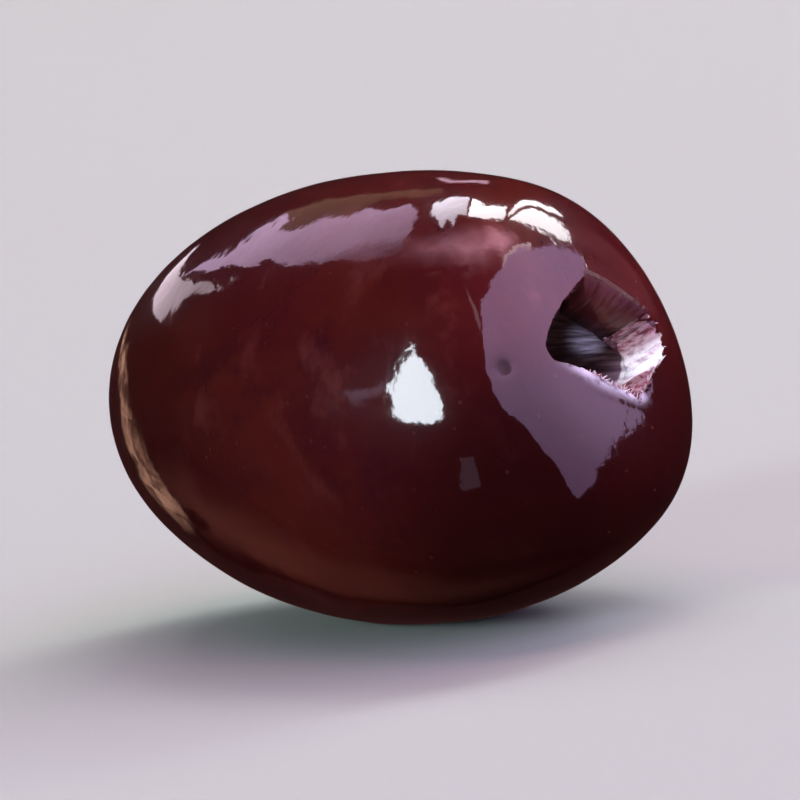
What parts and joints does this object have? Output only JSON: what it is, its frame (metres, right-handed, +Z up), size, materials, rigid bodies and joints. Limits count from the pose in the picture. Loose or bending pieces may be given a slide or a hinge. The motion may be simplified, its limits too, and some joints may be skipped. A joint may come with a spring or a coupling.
{
  "type": "pitted kalamata olive",
  "caption": "Pitted kalamata olive on its side: a plump, slightly bent fruit with a torn stone hole in its blunt end, the hollow behind it and a star-shaped punch cut in its tip.",
  "frame": {"origin": "under the middle of the bounding box, on the surface that the olive lies on", "axes": "+X along the fruit, towards the blunt end with the torn stone hole; +Z up; +Y to the side that the stone end leans to"},
  "size_m": [0.0326, 0.0172, 0.0188],
  "materials": {
    "olive_skin": "wet, glossy maroon skin, mottled purple and red-brown"
  },
  "bodies": {
    "root": {"olive": "olive_skin"}
  },
  "joints": []
}
